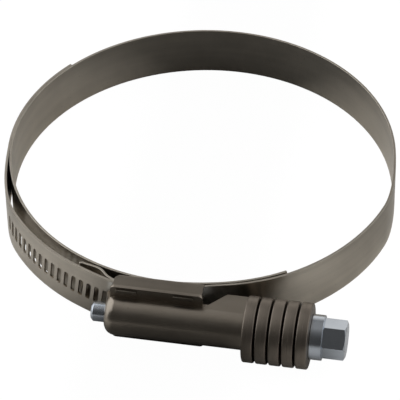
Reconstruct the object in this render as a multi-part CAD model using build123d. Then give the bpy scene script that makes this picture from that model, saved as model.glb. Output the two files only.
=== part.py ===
from build123d import *
import math
import os

# Constant tension worm drive hose clamp, lying flat, sizes in millimetres.
# The ring's centre at half the band's width is the origin and +Z is the ring's axis.
# The housing sits at -Y with its screw along X, the screw's head towards +X.

# Bands
band_width = 15.9
band_thickness = 0.7
seat_radius = 57.2
liner_end_deg = 35.0
liner_rise = 0.55
liner_rise_from_deg = 8.0
lap_gap = 1.05
right_lap_from_deg = 75.0
right_lap_to_deg = 33.0
round_to_deg = 100.0

# Slotted strip
strip_rise = 3.05
strip_end_deg = 125.0
strip_lift_deg = 84.0
strip_full_deg = 54.0
strip_low_deg = 26.0
strip_tail = 10.9
slot_pitch = 2.74
slot_length = 6.4
slot_width = 1.55
slot_lean_deg = -9.0
slot_count = 28
first_slot_deg = 57.9

# Housing
saddle_start = -14.4
saddle_end = 11.4
saddle_floor = 0.95
saddle_floor_end = 5.0
saddle_end_slant = 1.6
saddle_wall = 1.0
band_side_clearance = 0.25
saddle_corner = 0.9
tab_spans = ((-13.1, -7.2), (3.5, 9.2))
tab_height = 0.6
tab_clearance = 0.08
cap_start = -16.2
cap_end = 24.1
cap_wall = 1.3
cap_end_wall = 1.2
cap_flange = 1.0
flange_rim = 0.7
flange_margin = 0.5
shoulder_below_axis = 0.5
leg_start = 13.4
leg_full = 18.0
leg_depth = 6.6
end_wall_depth = 3.9
cap_corner = 3.0

# Screw
worm_radius = 4.2
screw_travel = 2.6
thread_gap = 0.35
bore_clearance = 0.35
journal_clearance = 0.05
barrel_gap = 0.7
worm_front_room = 0.7
worm_end = 11.6
thread_depth = 0.95
thread_crest = 0.7
thread_root = 1.5
journal_radius = 2.95
tip_start = -20.3
tip_chamfer = 0.7
collar_radius = 6.5
collar_length = 3.4
hex_across_flats = 10.0
hex_length = 6.6
hex_chamfer = 0.9
hex_turn_deg = 75.0

# Spring washers
washer_pairs = 5
pair_height = 3.85
washer_radius = 9.525
washer_thickness = 1.62

# Levels counted outwards from the ring's centre
liner_outer = seat_radius + band_thickness
floor_top = liner_outer + saddle_floor
strip_in_housing = floor_top + 1.5 * band_thickness
strip_top = floor_top + 2 * band_thickness
screw_level = strip_top + thread_gap + worm_radius
barrel_inner = worm_radius + barrel_gap
worm_start = cap_start + cap_end_wall + screw_travel + worm_front_room
barrel_outer = barrel_inner + cap_wall
shoulder_level = screw_level - shoulder_below_axis
flange_level = shoulder_level - cap_flange
saddle_inner_half = band_width / 2 + band_side_clearance
saddle_outer_half = saddle_inner_half + saddle_wall
screw_bore = worm_radius + bore_clearance
collar_start = cap_end + washer_pairs * pair_height
hex_start = collar_start + collar_length
hex_end = hex_start + hex_length
half_band = band_thickness / 2
right_lap_radius = liner_outer + lap_gap + half_band
strip_radius = liner_outer + strip_rise + half_band
flange_half_width = saddle_outer_half + flange_rim

# Where the strips' middle lines pass, as distances beyond the saddle's end and above the liner
hook_points = (
    (-1.3, 3.13),
    (-2.5, 2.7),
    (-3.5, 2.09),
    (-4.5, 1.27),
    (-5.7, 0.9),
    (-8.0, 1.11),
    (-10.2, 1.49),
    (-11.6, 2.37),
)
band_leaves = ((21.0, 1.28), (15.0, 0.95), (6.5, 0.85))
strip_enters = ((-8.2, 3.76), (-5.1, 3.83), (-2.2, 3.98))
run_on = 0.1


def place(along, outward):
    """Point of the ring's plane from a distance along the screw and one outwards."""
    return Vector(along, -outward, 0)


def polar(radius, degrees):
    """Point at a radius and an angle counted from the housing towards the screw's head."""
    angle = math.radians(degrees)
    return place(radius * math.sin(angle), radius * math.cos(angle))


def above_liner(along, gap):
    """Point over the liner's outer face, measured outwards at a distance along the screw."""
    return place(along, math.sqrt(liner_outer**2 - along**2) + gap)


def ring_arc(radius, start_deg, end_deg):
    """Arc about the ring's centre between two angles counted from the housing."""
    return CenterArc((0, 0, 0), radius, start_deg - 90, end_deg - start_deg)


def turning(degrees, towards_head=True):
    """Direction of travel round the ring at an angle counted from the housing."""
    angle = math.radians(degrees)
    sign = 1 if towards_head else -1
    return Vector(sign * math.cos(angle), sign * math.sin(angle), 0)


def shifted(edge, distance):
    """Edge beside another, on its left when the distance is positive."""
    if edge.geom_type == GeomType.CIRCLE:
        centre = edge.arc_center
        start = edge @ 0
        left = (edge % 0).cross(Vector(0, 0, 1)) * -1
        grows = (start - centre).dot(left) > 0
        radius = edge.radius + (distance if grows else -distance)
        scale = radius / edge.radius
        points = [centre + (edge @ u - centre) * scale for u in (0, 0.5, 1)]
        return ThreePointArc(*points)
    if edge.geom_type == GeomType.LINE:
        left = (edge % 0).cross(Vector(0, 0, 1)) * -1
        return Line(edge @ 0 + left * distance, edge @ 1 + left * distance)
    count = 13
    points = []
    for index in range(count):
        u = index / (count - 1)
        left = (edge % u).cross(Vector(0, 0, 1)) * -1
        points.append(edge @ u + left * distance)
    return Spline(*points, tangents=(edge % 0, edge % 1))


def bent_strip(edges):
    """Flat strip of the band's width and thickness, standing on a line of edges."""
    pieces = []
    for edge in edges:
        left = shifted(edge, half_band)
        right = shifted(edge, -half_band)
        outline = Wire([left, Line(left @ 1, right @ 1), right, Line(right @ 0, left @ 0)])
        piece = extrude(Face(outline), band_width / 2, dir=(0, 0, 1), both=True)
        pieces.append(piece)
    strip = pieces[0]
    for piece in pieces[1:]:
        strip = strip + piece
    return strip.solids()[0]


def make_main_band():
    """Main band: liner, round seat, lapped side, run through the housing and its hook."""
    seat_mid = seat_radius + half_band
    liner = Spline(
        polar(seat_mid + liner_rise, liner_end_deg),
        polar(seat_mid, liner_rise_from_deg),
        tangents=(turning(liner_end_deg, False), turning(liner_rise_from_deg, False)),
    )
    seat = ring_arc(seat_mid, liner_rise_from_deg, round_to_deg - 360)
    rise = Spline(
        polar(seat_mid, round_to_deg),
        polar(right_lap_radius, right_lap_from_deg),
        tangents=(turning(round_to_deg, False), turning(right_lap_from_deg, False)),
    )
    lap = ring_arc(right_lap_radius, right_lap_from_deg, right_lap_to_deg)
    band_level = floor_top + half_band
    into = Spline(
        polar(right_lap_radius, right_lap_to_deg),
        *[above_liner(saddle_floor_end + beyond, gap) for beyond, gap in band_leaves],
        place(saddle_floor_end + run_on, band_level),
        tangents=(turning(right_lap_to_deg, False), Vector(-1, 0, 0)),
    )
    run_start = place(saddle_floor_end + run_on, band_level)
    run = Line(run_start, place(saddle_start - run_on, band_level))
    hook = Spline(
        place(saddle_start - run_on, band_level),
        *[above_liner(saddle_start + beyond, gap) for beyond, gap in hook_points],
        tangents=(Vector(-1, 0, 0), Vector(-1, -0.45, 0).normalized()),
    )
    return bent_strip([liner, seat, rise, lap, into, run, hook])


def strip_path():
    """Middle line of the slotted strip, from its welded end into the housing."""
    welded_mid = seat_radius + 1.5 * band_thickness
    welded = ring_arc(welded_mid, -strip_end_deg, -strip_lift_deg)
    lift = Spline(
        polar(welded_mid, -strip_lift_deg),
        polar(strip_radius, -strip_full_deg),
        tangents=(turning(-strip_lift_deg), turning(-strip_full_deg)),
    )
    outer = ring_arc(strip_radius, -strip_full_deg, -strip_low_deg)
    enter = Spline(
        polar(strip_radius, -strip_low_deg),
        *[above_liner(saddle_start + beyond, gap) for beyond, gap in strip_enters],
        place(saddle_start + run_on, strip_in_housing),
        tangents=(turning(-strip_low_deg), Vector(1, 0, 0)),
    )
    run = Line(
        place(saddle_start + run_on, strip_in_housing), place(strip_tail, strip_in_housing)
    )
    return [welded, lift, outer, enter, run]


def slot_cutter(path, distance):
    """Leaning oval cutter through the strip at a distance along its middle line."""
    point = path.position_at(distance, position_mode=PositionMode.LENGTH)
    along = path.tangent_at(distance, position_mode=PositionMode.LENGTH)
    outward = along.cross(Vector(0, 0, 1))
    plane = Plane(origin=point, x_dir=Vector(0, 0, 1), z_dir=outward)
    oval = plane * Rot(0, 0, slot_lean_deg) * SlotOverall(slot_length, slot_width)
    return extrude(oval, 2 * band_thickness, both=True)


def make_slotted_strip():
    """Outer strip, welded to the main band and slotted at the worm's pitch."""
    edges = strip_path()
    strip = bent_strip(edges)
    path = Wire(edges)
    before = sum(edge.length for edge in edges[:1])
    lifted = edges[1].length * (strip_lift_deg - first_slot_deg)
    first = before + lifted / (strip_lift_deg - strip_full_deg)
    for index in range(slot_count):
        strip = strip - slot_cutter(path, first + index * slot_pitch)
    return strip.solids()[0]


def section(points, start, end):
    """Bar along the screw from an outline given as places across and outwards."""
    plane = Plane(origin=(start, 0, 0), x_dir=(0, 0, 1), z_dir=(1, 0, 0))
    outline = Polyline(*[(across, outward) for across, outward in points], close=True)
    return extrude(plane * make_face(outline), end - start)


def along_screw(radius, start, end):
    """Round bar on the screw's axis."""
    plane = Plane(origin=(start, -screw_level, 0), x_dir=(0, 0, 1), z_dir=(1, 0, 0))
    return extrude(plane * Circle(radius), end - start)


def make_saddle():
    """Saddle: a floor under the bands, two side walls and four tabs."""
    outer, inner = saddle_outer_half, saddle_inner_half
    points = (
        (-outer, liner_outer),
        (outer, liner_outer),
        (outer, flange_level),
        (inner, flange_level),
        (inner, floor_top),
        (-inner, floor_top),
        (-inner, flange_level),
        (-outer, flange_level),
    )
    saddle = section(points, saddle_start, saddle_end)
    corners = saddle.edges().filter_by(Axis.X).group_by(Axis.Y)[-1]
    saddle = fillet(corners, saddle_corner)
    saddle = saddle - saddle_end_cuts()
    for start, end in tab_spans:
        for side in (-1, 1):
            tab = [
                (side * inner, flange_level - 0.1),
                (side * outer, flange_level - 0.1),
                (side * outer, shoulder_level + tab_height),
                (side * inner, shoulder_level + tab_height),
            ]
            saddle = saddle + section(tab, start, end)
    return saddle.solids()[0]


def saddle_end_cuts():
    """Slanted corners at the saddle's start, and the window where the band dips out."""
    slant = Polyline(
        (saddle_start - 1, -liner_outer - saddle_end_slant),
        (saddle_start, -liner_outer - saddle_end_slant),
        (saddle_start + saddle_end_slant, -liner_outer),
        (saddle_start + saddle_end_slant, -liner_outer + 1),
        (saddle_start - 1, -liner_outer + 1),
        close=True,
    )
    corner = extrude(make_face(slant), 2 * saddle_outer_half, both=True)
    window = Polyline(
        (saddle_floor_end, -floor_top - 1),
        (saddle_end + 1, -floor_top - 1),
        (saddle_end + 1, -liner_outer + 1),
        (saddle_floor_end, -liner_outer + 1),
        close=True,
    )
    return corner + extrude(make_face(window), saddle_inner_half, both=True)


def make_housing_cap():
    """Housing cap: half round barrel, shoulders with tab slots, end wall and legs."""
    barrel = along_screw(barrel_outer, cap_start, cap_end)
    skirt = [
        (-barrel_outer, flange_level),
        (barrel_outer, flange_level),
        (barrel_outer, screw_level),
        (-barrel_outer, screw_level),
    ]
    upper = [
        (-barrel_outer, screw_level),
        (barrel_outer, screw_level),
        (barrel_outer, screw_level + barrel_outer),
        (-barrel_outer, screw_level + barrel_outer),
    ]
    body = (barrel & section(upper, cap_start, cap_end)) + section(skirt, cap_start, cap_end)
    tip_edges = body.edges().group_by(Axis.X)[0].group_by(Axis.Y)[0]
    body = fillet(tip_edges, cap_corner)
    flange = [
        (-flange_half_width, flange_level),
        (flange_half_width, flange_level),
        (flange_half_width, shoulder_level),
        (-flange_half_width, shoulder_level),
    ]
    plate = section(flange, saddle_start - flange_margin, saddle_end + flange_margin)
    plate = fillet(plate.edges().filter_by(Axis.Y), 1.2)
    body = body + plate
    body = body - along_screw(barrel_inner, cap_start + cap_end_wall, cap_end - cap_end_wall)
    groove = [
        (-barrel_inner, flange_level - 1),
        (barrel_inner, flange_level - 1),
        (barrel_inner, screw_level),
        (-barrel_inner, screw_level),
    ]
    body = body - section(groove, cap_start + cap_end_wall, cap_end - cap_end_wall)
    sill = [
        (-barrel_inner, screw_level - end_wall_depth),
        (barrel_inner, screw_level - end_wall_depth),
        (barrel_inner, flange_level),
        (-barrel_inner, flange_level),
    ]
    body = body + section(sill, cap_start, cap_start + cap_end_wall)
    body = body + housing_legs()
    body = body - along_screw(journal_radius + journal_clearance, cap_start - 1, 0)
    body = body - along_screw(screw_bore, 0, cap_end + 1)
    for start, end in tab_spans:
        for side in (-1, 1):
            low = saddle_inner_half - tab_clearance
            high = saddle_outer_half + tab_clearance
            slot = [
                (side * low, flange_level - 1),
                (side * high, flange_level - 1),
                (side * high, shoulder_level + 1),
                (side * low, shoulder_level + 1),
            ]
            body = body - section(slot, start - tab_clearance, end + tab_clearance)
    return body.solids()[0]


def housing_legs():
    """Two slanted legs and the end wall that the spring washers press on."""
    low = screw_level - leg_depth
    side = Polyline(
        (leg_start, -flange_level),
        (leg_full, -low),
        (cap_end, -low),
        (cap_end, -flange_level),
        close=True,
    )
    plate = extrude(make_face(side), barrel_outer, both=True)
    inside = extrude(Plane.XY * make_face(side), barrel_inner, both=True)
    room = Pos(-cap_end_wall, 0, 0) * inside
    legs = plate - room
    filler = Polyline(
        (leg_start - 1, -flange_level + 0.01),
        (leg_full - 1, -low + 0.5),
        (leg_full - 1, -flange_level),
        close=True,
    )
    return legs - extrude(make_face(filler), barrel_inner, both=True)


def washer(near, rim_first):
    """Conical spring washer from its near face, rim first or bore first."""
    height = pair_height / 2
    dish = height - washer_thickness
    profile = [
        (0, screw_bore),
        (washer_thickness, screw_bore),
        (height, washer_radius),
        (dish, washer_radius),
    ]
    if rim_first:
        profile = [(height - along, radius) for along, radius in profile]
    points = [(near + along, radius - screw_level) for along, radius in profile]
    face = make_face(Polyline(*points, close=True))
    return revolve(face, Axis((0, -screw_level, 0), (1, 0, 0))).solids()[0]


def worm_thread():
    """Single start worm thread at the slots' pitch, sunk a little into the core."""
    core = worm_radius - thread_depth
    length = worm_end - worm_start - 2 * thread_root
    helix = Helix(pitch=slot_pitch, height=length, radius=core)
    start = helix @ 0
    plane = Plane(origin=start, x_dir=(1, 0, 0), z_dir=helix % 0)
    half_root, half_crest = thread_root / 2, thread_crest / 2
    profile = Polyline(
        (-0.25, -half_root),
        (thread_depth, -half_crest),
        (thread_depth, half_crest),
        (-0.25, half_root),
        close=True,
    )
    ridge = sweep(plane * make_face(profile), path=helix, is_frenet=True)
    turned = Rot(0, 90, 0) * ridge
    return Pos(worm_start + thread_root, -screw_level, 0) * turned


def make_screw():
    """Screw: journal, worm thread, shank, collar and hexagonal head in one piece."""
    core = worm_radius - thread_depth
    outline = [
        (tip_start, 0),
        (tip_start, journal_radius - tip_chamfer),
        (tip_start + tip_chamfer, journal_radius),
        (worm_start, journal_radius),
        (worm_start, core),
        (worm_end, core),
        (worm_end + 0.6, worm_radius),
        (collar_start, worm_radius),
        (collar_start, collar_radius),
        (hex_start, collar_radius),
        (hex_start, 0),
    ]
    points = [(along, radius - screw_level) for along, radius in outline]
    axis = Axis((0, -screw_level, 0), (1, 0, 0))
    screw = revolve(make_face(Polyline(*points, close=True)), axis)
    plane = Plane(origin=(hex_start, -screw_level, 0), x_dir=(0, 0, 1), z_dir=(1, 0, 0))
    flats = RegularPolygon(hex_across_flats / 2, 6, major_radius=False)
    head = extrude(plane * Rot(0, 0, hex_turn_deg) * flats, hex_length)
    corner = hex_across_flats / math.sqrt(3)
    dome = [
        (hex_start, 0),
        (hex_start, corner - 0.3),
        (hex_start + 0.4, corner),
        (hex_end - hex_chamfer / 2, corner),
        (hex_end, corner - hex_chamfer),
        (hex_end, 0),
    ]
    points = [(along, radius - screw_level) for along, radius in dome]
    head = head & revolve(make_face(Polyline(*points, close=True)), axis)
    return (screw + head + worm_thread()).solids()[0]


def make_parts():
    """Every piece of the clamp by its node name."""
    parts = {
        "main_band": make_main_band(),
        "slotted_strip": make_slotted_strip(),
        "saddle": make_saddle(),
        "housing_cap": make_housing_cap(),
        "screw": make_screw(),
    }
    for index in range(2 * washer_pairs):
        near = cap_end + index * pair_height / 2
        parts[f"spring_washer_{index + 1:02d}"] = washer(near, index % 2 == 1)
    return parts


os.makedirs("parts", exist_ok=True)
for name, solid in make_parts().items():
    export_step(solid, f"parts/{name}.step")
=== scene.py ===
"""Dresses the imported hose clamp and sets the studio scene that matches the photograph."""

import logging
import math
from dataclasses import dataclass, field
from enum import Enum

import bmesh
import bpy
from mathutils import Matrix, Vector


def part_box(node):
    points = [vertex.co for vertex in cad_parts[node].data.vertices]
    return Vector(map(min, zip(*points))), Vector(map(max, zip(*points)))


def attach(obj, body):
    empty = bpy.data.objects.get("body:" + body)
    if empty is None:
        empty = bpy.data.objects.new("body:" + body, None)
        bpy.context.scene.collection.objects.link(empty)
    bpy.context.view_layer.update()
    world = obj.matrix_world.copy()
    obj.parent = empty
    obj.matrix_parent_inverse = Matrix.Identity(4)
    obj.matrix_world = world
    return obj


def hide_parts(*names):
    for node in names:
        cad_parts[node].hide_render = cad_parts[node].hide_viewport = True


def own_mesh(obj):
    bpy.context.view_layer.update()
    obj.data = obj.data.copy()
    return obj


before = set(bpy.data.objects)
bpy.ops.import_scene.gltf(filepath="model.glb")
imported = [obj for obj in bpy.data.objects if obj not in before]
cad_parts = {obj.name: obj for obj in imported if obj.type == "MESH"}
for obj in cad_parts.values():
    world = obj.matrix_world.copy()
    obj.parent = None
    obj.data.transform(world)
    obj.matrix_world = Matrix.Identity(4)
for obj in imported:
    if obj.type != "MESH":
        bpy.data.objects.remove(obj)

logging.basicConfig(level=logging.INFO, format="%(message)s")
log = logging.getLogger("scene")

MM = 0.001
RING_BODY = "clamp_ring"
THRUST_BODY = "thrust_washer"
SCREW_BODY = "screw"

# Camera: where the photograph shows the ring's centre, and the lens worked out from the ring
PHOTO_SIZE = 400
RING_CENTRE_PX = (202.93, 170.43)
FOCAL_PX = 2859.3
CAMERA_DISTANCE = 862.9 * MM
CAMERA_ELEVATION = 41.41
CAMERA_AZIMUTH = 11.25
CAMERA_ROLL = 1.145
SENSOR_WIDTH = 36.0

# Table: its size, its gap below the clamp, and the white that the camera sees in it
TABLE_SIZE = 6.0
TABLE_GAP = 0.02 * MM
WHITE_SHARE = 0.92
WHITE_LEVEL = 1.07

# Meshes: vertices joined within a distance, faces merged below an angle, edges rolled above one
JOIN_DISTANCE = 0.001 * MM
FLAT_ANGLE = math.radians(0.4)
EDGE_ANGLE = math.radians(35)
SEAM_TOLERANCE = 0.01 * MM

# Rolled edges
BAND_EDGE = 0.12 * MM
HOUSING_EDGE = 0.16 * MM
WASHER_EDGE = 0.38 * MM
SCREW_EDGE = 0.24 * MM

# Grain: radii that turn an angle into a length, and the share of that length that is kept
RING_GRAIN_RADIUS = 55 * MM
SCREW_GRAIN_RADIUS = 6 * MM
GRAIN_STRETCH = 0.035

# Film and handling marks: noise scales per metre, size of a mark and the film that carries marks
FILM_SCALE = 130.0
MARK_SCALE = 620.0
MARK_SIZE = 0.16
MARKED_ABOVE = 0.56

# Shares of the lines, the film and the marks in colour and relief
TONE_SHARE = 0.75
MARK_TONE = 0.3
MARK_DEPTH = 0.6
RELIEF_DEPTH = 0.02 * MM

# Brightness of the room from the camera's side to the far side, and the shade painted on the table:
# dark in the middle, lighter outwards, for the metal to mirror
ROOM_TONES = ((0.0, 0.05), (0.14, 0.07), (0.30, 0.13), (0.50, 0.28), (0.87, 0.18), (1.0, 0.95))
TABLE_PAINTED_SHADE_TONES = (
    (0.0, 0.11), (0.24, 0.13), (0.53, 0.80), (0.64, 0.85), (0.69, 1.0), (0.80, 1.0), (0.90, 0.62)
)
TABLE_PAINTED_SHADE_REACH = 75 * MM
LIGHT_COLOUR = (0.94, 0.97, 1.0)


class Grain(Enum):
    """Direction that a finish's fine lines follow."""

    RING = "round the ring"
    TURNED = "round the screw"
    STRAIGHT = "along the screw"


@dataclass(frozen=True)
class Place:
    """Places taken from the frame, in metres."""

    screw_y: float
    housing_end: float
    last_washer: float
    lowest: float

    @classmethod
    def from_frame(cls) -> "Place":
        """Reads the places that the scene is built around.

        Returns:
            The places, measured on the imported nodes.
        """
        low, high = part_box("screw")
        cap_low, cap_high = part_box("housing_cap")
        last_low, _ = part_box("spring_washer_10")
        return cls(
            screw_y=(low[1] + high[1]) / 2,
            housing_end=cap_high[0],
            last_washer=last_low[0],
            lowest=cap_low[2],
        )


@dataclass
class NodeTree:
    """Small helper that adds and links nodes in one tree."""

    tree: bpy.types.NodeTree

    def add(self, kind: str, **values) -> bpy.types.Node:
        """Adds a node.

        Args:
            kind: Blender's name of the node type.
            values: Attributes set on the node.

        Returns:
            The new node.
        """
        node = self.tree.nodes.new(kind)
        for name, value in values.items():
            setattr(node, name, value)
        return node

    def math(self, operation: str, *inputs) -> bpy.types.NodeSocket:
        """Adds a math node whose inputs are sockets or numbers.

        Args:
            operation: Blender's name of the operation.
            inputs: Sockets to link or numbers to set, in order.

        Returns:
            The node's output.
        """
        node = self.add("ShaderNodeMath", operation=operation)
        for index, value in enumerate(inputs):
            if isinstance(value, (int, float)):
                node.inputs[index].default_value = value
            else:
                self.link(value, node.inputs[index])
        return node.outputs[0]

    def length(
        self, first: bpy.types.NodeSocket, second: bpy.types.NodeSocket
    ) -> bpy.types.NodeSocket:
        """Adds the length of the flat vector that two values make.

        Args:
            first: One value.
            second: The value across it.

        Returns:
            The length.
        """
        squares = [self.math("POWER", value, 2.0) for value in (first, second)]
        return self.math("SQRT", self.math("ADD", *squares))

    @staticmethod
    def ramp(node: bpy.types.Node, tones: tuple[tuple[float, float], ...]) -> None:
        """Sets a colour ramp's stops to slightly warm greys.

        Args:
            node: The ramp.
            tones: Position and brightness of each stop, in order.
        """
        stops = node.color_ramp.elements
        while len(stops) < len(tones):
            stops.new(0.5)
        for stop, (position, tone) in zip(stops, tones):
            stop.position = position
            stop.color = (tone, tone * 0.985, tone * 0.955, 1.0)

    def link(self, source: bpy.types.NodeSocket, target: bpy.types.NodeSocket) -> None:
        """Links two sockets.

        Args:
            source: Output that is read.
            target: Input that it feeds.
        """
        self.tree.links.new(source, target)


def grain_group(grain: Grain, place: Place) -> bpy.types.NodeTree:
    """Builds the shared group that turns object coordinates into grain coordinates.

    Args:
        grain: Direction that the lines follow.
        place: Places taken from the frame.

    Returns:
        A group whose output is short along the lines and long across them.
    """
    name = f"Grain {grain.value}"
    if name in bpy.data.node_groups:
        return bpy.data.node_groups[name]
    group = bpy.data.node_groups.new(name, "ShaderNodeTree")
    group.interface.new_socket("Position", in_out="INPUT", socket_type="NodeSocketVector")
    group.interface.new_socket("Grain", in_out="OUTPUT", socket_type="NodeSocketVector")
    nodes = NodeTree(group)
    start = nodes.add("NodeGroupInput")
    end = nodes.add("NodeGroupOutput")
    parts = nodes.add("ShaderNodeSeparateXYZ")
    nodes.link(start.outputs["Position"], parts.inputs[0])
    x, y, z = parts.outputs
    join = nodes.add("ShaderNodeCombineXYZ")
    if grain is Grain.RING:
        across = [z, nodes.length(x, y)]
        along = nodes.math("MULTIPLY", nodes.math("ARCTAN2", x, y), RING_GRAIN_RADIUS)
    elif grain is Grain.TURNED:
        from_axis = nodes.math("SUBTRACT", y, place.screw_y)
        across = [x, nodes.length(from_axis, z)]
        turned = nodes.math("ARCTAN2", z, from_axis)
        along = nodes.math("MULTIPLY", turned, SCREW_GRAIN_RADIUS)
    else:
        across = [y, z]
        along = x
    nodes.link(nodes.math("MULTIPLY", along, GRAIN_STRETCH), join.inputs[0])
    nodes.link(across[0], join.inputs[1])
    nodes.link(across[1], join.inputs[2])
    nodes.link(join.outputs[0], end.inputs["Grain"])
    return group


def wear_group() -> bpy.types.NodeTree:
    """Builds the shared group for handling marks and a faint cloudy film.

    Returns:
        A group with a film mask and a marks mask.
    """
    name = "Handling wear"
    if name in bpy.data.node_groups:
        return bpy.data.node_groups[name]
    group = bpy.data.node_groups.new(name, "ShaderNodeTree")
    group.interface.new_socket("Position", in_out="INPUT", socket_type="NodeSocketVector")
    group.interface.new_socket("Film", in_out="OUTPUT", socket_type="NodeSocketFloat")
    group.interface.new_socket("Marks", in_out="OUTPUT", socket_type="NodeSocketFloat")
    nodes = NodeTree(group)
    start = nodes.add("NodeGroupInput")
    end = nodes.add("NodeGroupOutput")
    cloud = nodes.add("ShaderNodeTexNoise")
    cloud.inputs["Scale"].default_value = FILM_SCALE
    cloud.inputs["Detail"].default_value = 4.0
    nodes.link(start.outputs["Position"], cloud.inputs["Vector"])
    speck = nodes.add("ShaderNodeTexVoronoi", distance="EUCLIDEAN")
    speck.inputs["Scale"].default_value = MARK_SCALE
    nodes.link(start.outputs["Position"], speck.inputs["Vector"])
    near = nodes.math("LESS_THAN", speck.outputs["Distance"], MARK_SIZE)
    patchy = nodes.math("GREATER_THAN", cloud.outputs["Fac"], MARKED_ABOVE)
    nodes.link(cloud.outputs["Fac"], end.inputs["Film"])
    nodes.link(nodes.math("MULTIPLY", near, patchy), end.inputs["Marks"])
    return group


@dataclass(frozen=True)
class MetalFinish:
    """Bare or plated metal with fine lines, a film and a few handling marks."""

    name: str
    colour: tuple[float, float, float]
    dark: tuple[float, float, float]
    roughness: tuple[float, float]
    grain: Grain
    lines: float = 2600.0
    relief: float = 0.12

    def build(self, place: Place) -> bpy.types.Material:
        """Makes the material, or returns it when it exists.

        Args:
            place: Places taken from the frame.

        Returns:
            The finished material.
        """
        if self.name in bpy.data.materials:
            return bpy.data.materials[self.name]
        material = bpy.data.materials.new(self.name)
        material.use_nodes = True
        nodes = NodeTree(material.node_tree)
        metal = material.node_tree.nodes["Principled BSDF"]
        metal.inputs["Metallic"].default_value = 1.0
        where = nodes.add("ShaderNodeTexCoord")
        grain = nodes.add("ShaderNodeGroup", node_tree=grain_group(self.grain, place))
        wear = nodes.add("ShaderNodeGroup", node_tree=wear_group())
        nodes.link(where.outputs["Object"], grain.inputs["Position"])
        nodes.link(where.outputs["Object"], wear.inputs["Position"])
        fine = self._lines(nodes, grain, self.lines, 5.0)
        broad = self._lines(nodes, grain, self.lines / 7, 2.0)
        self._colour(nodes, metal, broad, wear)
        self._roughness(nodes, metal, fine, wear)
        self._relief(nodes, metal, fine, wear)
        return material

    @staticmethod
    def _lines(
        nodes: NodeTree, grain: bpy.types.Node, scale: float, detail: float
    ) -> bpy.types.NodeSocket:
        """Adds one noise of lines.

        Args:
            nodes: The material's tree.
            grain: Node that gives the grain coordinates.
            scale: Lines per metre across the grain.
            detail: Depth of the noise.

        Returns:
            The noise's value.
        """
        noise = nodes.add("ShaderNodeTexNoise")
        noise.inputs["Scale"].default_value = scale
        noise.inputs["Detail"].default_value = detail
        nodes.link(grain.outputs["Grain"], noise.inputs["Vector"])
        return noise.outputs["Fac"]

    def _colour(
        self,
        nodes: NodeTree,
        metal: bpy.types.Node,
        broad: bpy.types.NodeSocket,
        wear: bpy.types.Node,
    ) -> None:
        """Mixes the bright and dark tones by the broad lines and the film.

        Args:
            nodes: The material's tree.
            metal: The surface shader.
            broad: Value of the broad lines.
            wear: Node with the film and the marks.
        """
        mix = nodes.add("ShaderNodeMix", data_type="RGBA")
        mix.inputs["A"].default_value = (*self.dark, 1.0)
        mix.inputs["B"].default_value = (*self.colour, 1.0)
        toned = nodes.math("MULTIPLY", nodes.math("ADD", broad, wear.outputs["Film"]), TONE_SHARE)
        marked = nodes.math("MULTIPLY", wear.outputs["Marks"], MARK_TONE)
        nodes.link(nodes.math("SUBTRACT", toned, marked), mix.inputs["Factor"])
        nodes.link(mix.outputs["Result"], metal.inputs["Base Color"])

    def _roughness(
        self,
        nodes: NodeTree,
        metal: bpy.types.Node,
        fine: bpy.types.NodeSocket,
        wear: bpy.types.Node,
    ) -> None:
        """Varies the roughness between its two limits.

        Args:
            nodes: The material's tree.
            metal: The surface shader.
            fine: Value of the fine lines.
            wear: Node with the film and the marks.
        """
        low, high = self.roughness
        varied = nodes.math("ADD", fine, wear.outputs["Film"])
        spread = nodes.math("MULTIPLY", varied, (high - low) * 0.5)
        nodes.link(nodes.math("ADD", spread, low), metal.inputs["Roughness"])

    def _relief(
        self,
        nodes: NodeTree,
        metal: bpy.types.Node,
        fine: bpy.types.NodeSocket,
        wear: bpy.types.Node,
    ) -> None:
        """Gives the lines and marks a faint relief.

        Args:
            nodes: The material's tree.
            metal: The surface shader.
            fine: Value of the fine lines.
            wear: Node with the film and the marks.
        """
        bump = nodes.add("ShaderNodeBump")
        bump.inputs["Strength"].default_value = self.relief
        bump.inputs["Distance"].default_value = RELIEF_DEPTH
        marked = nodes.math("MULTIPLY", wear.outputs["Marks"], MARK_DEPTH)
        height = nodes.math("SUBTRACT", fine, marked)
        nodes.link(height, bump.inputs["Height"])
        nodes.link(bump.outputs["Normal"], metal.inputs["Normal"])


BAND_STEEL = MetalFinish(
    "band steel", (0.62, 0.562, 0.48), (0.40, 0.362, 0.31), (0.25, 0.38), Grain.RING
)
HOUSING_STEEL = MetalFinish(
    "housing steel", (0.38, 0.33, 0.275), (0.235, 0.205, 0.17), (0.24, 0.36), Grain.STRAIGHT, 1900.0
)
SADDLE_STEEL = MetalFinish(
    "saddle steel", (0.27, 0.235, 0.195), (0.17, 0.148, 0.12), (0.26, 0.38), Grain.STRAIGHT, 1900.0
)
WASHER_STEEL = MetalFinish(
    "washer steel", (0.26, 0.222, 0.185), (0.15, 0.128, 0.105), (0.34, 0.52), Grain.TURNED, 1500.0
)
ZINC_PLATE = MetalFinish(
    "zinc plate", (0.66, 0.70, 0.76), (0.44, 0.48, 0.54), (0.16, 0.28), Grain.TURNED, 1100.0, 0.08
)


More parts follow.
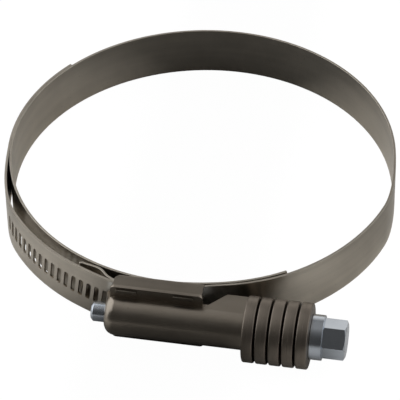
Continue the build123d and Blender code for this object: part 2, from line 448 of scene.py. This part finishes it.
@dataclass
class RefinedNode:
    """Piece that stands for one node, with rolled edges and a finish of its own."""

    node: str
    body: str
    slot: str
    finish: MetalFinish
    place: Place
    edge: float
    bevel_by: str = "ANGLE"
    piece: bpy.types.Object = field(default=None, repr=False)

    def build(self) -> bpy.types.Object:
        """Builds the piece and puts it in the node's stead.

        Returns:
            The finished piece, at the origin and unscaled.
        """
        mesh = self._cleaned_mesh()
        self.piece = bpy.data.objects.new(f"{self.node}_finished", mesh)
        bpy.context.scene.collection.objects.link(self.piece)
        self._round_edges()
        self.piece.data.materials.clear()
        self.piece.data.materials.append(self.finish.build(self.place))
        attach(self.piece, self.body)
        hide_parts(self.node)
        log.info("%s: %d faces", self.node, len(self.piece.data.polygons))
        return self.piece

    def _cleaned_mesh(self) -> bpy.types.Mesh:
        """Copies the node's mesh, joins its seams and merges its flat faces.

        Returns:
            The cleaned copy, with smooth faces.
        """
        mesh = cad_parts[self.node].data.copy()
        mesh.name = f"{self.node}_finished"
        work = bmesh.new()
        work.from_mesh(mesh)
        bmesh.ops.remove_doubles(work, verts=work.verts, dist=JOIN_DISTANCE)
        bmesh.ops.dissolve_limit(
            work, angle_limit=FLAT_ANGLE, verts=work.verts, edges=work.edges
        )
        bmesh.ops.recalc_face_normals(work, faces=work.faces)
        for face in work.faces:
            face.smooth = True
        work.to_mesh(mesh)
        work.free()
        return mesh

    def _round_edges(self) -> None:
        """Rolls the edges over by a small bevel and weights the normals."""
        self._mark_edges()
        bevel = self.piece.modifiers.new("rolled edges", "BEVEL")
        bevel.width = self.edge
        bevel.segments = 2
        bevel.limit_method = self.bevel_by
        bevel.angle_limit = EDGE_ANGLE
        bevel.use_clamp_overlap = True
        normals = self.piece.modifiers.new("even normals", "WEIGHTED_NORMAL")
        normals.keep_sharp = True
        scene_state = bpy.context.evaluated_depsgraph_get()
        finished = bpy.data.meshes.new_from_object(self.piece.evaluated_get(scene_state))
        self.piece.modifiers.clear()
        self.piece.data = finished

    def _mark_edges(self) -> None:
        """Sets each edge's share of the bevel, where a piece has its own."""


@dataclass
class SpringWasher(RefinedNode):
    """Conical washer that is rounded on its free rim and sharp where a pair's rims meet."""

    seam: float = 0.0
    seam_share: float = 0.12
    bevel_by: str = "WEIGHT"

    def _mark_edges(self) -> None:
        """Gives the full bevel to the edges away from the pair's seam."""
        mesh = self.piece.data
        weights = mesh.attributes.new("bevel_weight_edge", "FLOAT", "EDGE")
        work = bmesh.new()
        work.from_mesh(mesh)
        for edge in work.edges:
            sharp = edge.is_manifold and edge.calc_face_angle() > EDGE_ANGLE
            at_seam = all(abs(vertex.co.x - self.seam) < SEAM_TOLERANCE for vertex in edge.verts)
            share = self.seam_share if at_seam else 1.0
            weights.data[edge.index].value = share if sharp else 0.0
        work.free()


@dataclass
class Bands:
    """Main band with its liner, and the slotted strip welded to it."""

    place: Place

    def build(self) -> None:
        """Builds both strips."""
        for node in ("main_band", "slotted_strip"):
            RefinedNode(node, RING_BODY, "band_steel", BAND_STEEL, self.place, BAND_EDGE).build()


@dataclass
class Housing:
    """Saddle under the bands and the cap over the screw."""

    place: Place

    def build(self) -> None:
        """Builds the saddle and the cap."""
        finishes = {"saddle": SADDLE_STEEL, "housing_cap": HOUSING_STEEL}
        for node, finish in finishes.items():
            RefinedNode(node, RING_BODY, "housing_steel", finish, self.place, HOUSING_EDGE).build()


@dataclass
class WasherStack:
    """Conical spring washers between the housing and the screw's collar."""

    place: Place
    count: int = 10
    travel: float = 2.6 * MM

    def build(self) -> None:
        """Builds the washers, the last on the thrust washer's body, and gives all but the last a
        mesh of their own.
        """
        room = self.place.last_washer - self.place.housing_end
        thickness = room / (self.count - 1)
        for index in range(1, self.count + 1):
            last = index == self.count
            body = THRUST_BODY if last else RING_BODY
            node = f"spring_washer_{index:02d}"
            seam = self.place.housing_end + thickness * (index if index % 2 else index - 1)
            washer = SpringWasher(
                node, body, "washer_steel", WASHER_STEEL, self.place, WASHER_EDGE, seam=seam
            )
            piece = washer.build()
            if not last:
                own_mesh(piece)


@dataclass
class Screw:
    """Screw with its journal, worm thread, collar and hexagonal head."""

    place: Place

    def build(self) -> None:
        """Builds the screw."""
        RefinedNode("screw", SCREW_BODY, "zinc_plate", ZINC_PLATE, self.place, SCREW_EDGE).build()


@dataclass
class Studio:
    """White table, soft lights and the camera of the photograph."""

    place: Place

    def build(self) -> None:
        """Builds the table, the world, the lights and the camera."""
        self._table()
        self._world()
        self._light("left", (-0.85, 0.15, 0.60), (1.60, 1.60), 9.0)
        self._light("right", (0.85, 0.15, 0.60), (1.60, 1.60), 4.6)
        self._camera()
        log.info("studio: table, world, lights and camera")

    def _table(self) -> None:
        """Adds the table, tilted as the clamp lies on its housing and the band's far edge."""
        half_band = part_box("main_band")[1][2]
        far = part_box("main_band")[1][1]
        rise = -half_band - self.place.lowest
        tilt = math.atan2(rise, far - self.place.screw_y)
        bpy.ops.mesh.primitive_plane_add(size=TABLE_SIZE)
        table = bpy.context.object
        table.name = "table"
        table.matrix_world = (
            Matrix.Translation((0.0, self.place.screw_y, self.place.lowest - TABLE_GAP))
            @ Matrix.Rotation(tilt, 4, "X")
        )
        table.data.materials.append(self._table_material())

    @staticmethod
    def _table_material() -> bpy.types.Material:
        """Makes the table's material, plain white to the camera but for a soft shadow.

        Returns:
            The material, with shade painted darker towards the middle for the metal to mirror.
        """
        material = bpy.data.materials.new("white table")
        material.use_nodes = True
        nodes = NodeTree(material.node_tree)
        surface = material.node_tree.nodes["Principled BSDF"]
        where = nodes.add("ShaderNodeTexCoord")
        parts = nodes.add("ShaderNodeSeparateXYZ")
        nodes.link(where.outputs["Object"], parts.inputs[0])
        # Painted shade: the table's colour is darker towards the middle, so the metal mirrors dark
        # there
        aside = nodes.math("DIVIDE", nodes.math("ABSOLUTE", parts.outputs["X"]), TABLE_PAINTED_SHADE_REACH)
        ramp = nodes.add("ShaderNodeValToRGB")
        nodes.ramp(ramp, TABLE_PAINTED_SHADE_TONES)
        nodes.link(aside, ramp.inputs["Fac"])
        nodes.link(ramp.outputs["Color"], surface.inputs["Base Color"])
        surface.inputs["Roughness"].default_value = 0.6
        output = material.node_tree.nodes["Material Output"]
        glow = nodes.add("ShaderNodeEmission")
        glow.inputs["Color"].default_value = (1.0, 1.0, 1.0, 1.0)
        glow.inputs["Strength"].default_value = WHITE_LEVEL
        rays = nodes.add("ShaderNodeLightPath")
        mix = nodes.add("ShaderNodeMixShader")
        share = nodes.math("MULTIPLY", rays.outputs["Is Camera Ray"], WHITE_SHARE)
        nodes.link(share, mix.inputs[0])
        nodes.link(surface.outputs[0], mix.inputs[1])
        nodes.link(glow.outputs[0], mix.inputs[2])
        nodes.link(mix.outputs[0], output.inputs["Surface"])
        return material

    @staticmethod
    def _world() -> None:
        """Sets the room that the metal mirrors: dark at the camera, bright behind the clamp."""
        world = bpy.data.worlds.new("studio room")
        bpy.context.scene.world = world
        world.use_nodes = True
        nodes = NodeTree(world.node_tree)
        background = world.node_tree.nodes["Background"]
        where = nodes.add("ShaderNodeTexCoord")
        parts = nodes.add("ShaderNodeSeparateXYZ")
        nodes.link(where.outputs["Generated"], parts.inputs[0])
        front_to_back = nodes.math("MULTIPLY_ADD", parts.outputs["Y"], 0.5, 0.5)
        ramp = nodes.add("ShaderNodeValToRGB")
        nodes.ramp(ramp, ROOM_TONES)
        nodes.link(front_to_back, ramp.inputs["Fac"])
        nodes.link(ramp.outputs["Color"], background.inputs["Color"])

    @staticmethod
    def _light(
        name: str, where: tuple[float, float, float], size: tuple[float, float], power: float
    ) -> None:
        """Adds a soft box that faces the clamp.

        Args:
            name: The light's name.
            where: Its place, in metres.
            size: Its width and height, in metres.
            power: Its power, in watts.
        """
        light = bpy.data.lights.new(name, "AREA")
        light.shape = "RECTANGLE"
        light.size, light.size_y = size
        light.energy = power
        light.color = LIGHT_COLOUR
        box = bpy.data.objects.new(name, light)
        box.location = where
        box.rotation_euler = (-Vector(where)).to_track_quat("-Z", "Y").to_euler()
        bpy.context.scene.collection.objects.link(box)

    @staticmethod
    def _camera() -> None:
        """Adds the camera at the photograph's place, aimed a little off the ring's centre."""
        turn = math.radians(CAMERA_AZIMUTH)
        rise = math.radians(CAMERA_ELEVATION)
        roll = math.radians(CAMERA_ROLL)
        right = Vector((math.cos(turn), math.sin(turn), 0.0))
        back = Vector(
            (math.sin(turn) * math.cos(rise), -math.cos(turn) * math.cos(rise), math.sin(rise))
        )
        up = back.cross(right)
        rolled_right = right * math.cos(roll) - up * math.sin(roll)
        rolled_up = right * math.sin(roll) + up * math.cos(roll)
        scale = CAMERA_DISTANCE / FOCAL_PX
        across = RING_CENTRE_PX[0] - PHOTO_SIZE / 2
        above = PHOTO_SIZE / 2 - RING_CENTRE_PX[1]
        aim = -(rolled_right * across + rolled_up * above) * scale
        position = back * CAMERA_DISTANCE
        back = (position - aim).normalized()
        right = rolled_up.cross(back).normalized()
        up = back.cross(right)
        camera = bpy.data.cameras.new("camera")
        camera.sensor_width = SENSOR_WIDTH
        camera.lens = SENSOR_WIDTH * FOCAL_PX / PHOTO_SIZE
        camera.clip_start = 0.01
        camera.clip_end = 20.0
        holder = bpy.data.objects.new("camera", camera)
        turned = Matrix((right, up, back)).transposed().to_4x4()
        holder.matrix_world = Matrix.Translation(position) @ turned
        bpy.context.scene.collection.objects.link(holder)
        bpy.context.scene.camera = holder


def main() -> None:
    """Builds the clamp's pieces in order, then the studio, and notes the sizes."""
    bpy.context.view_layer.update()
    place = Place.from_frame()
    for assembly in (Bands(place), Housing(place), WasherStack(place), Screw(place)):
        assembly.build()
    Studio(place).build()
    bpy.context.scene.view_settings.view_transform = "Standard"


if __name__ == "__main__":
    main()
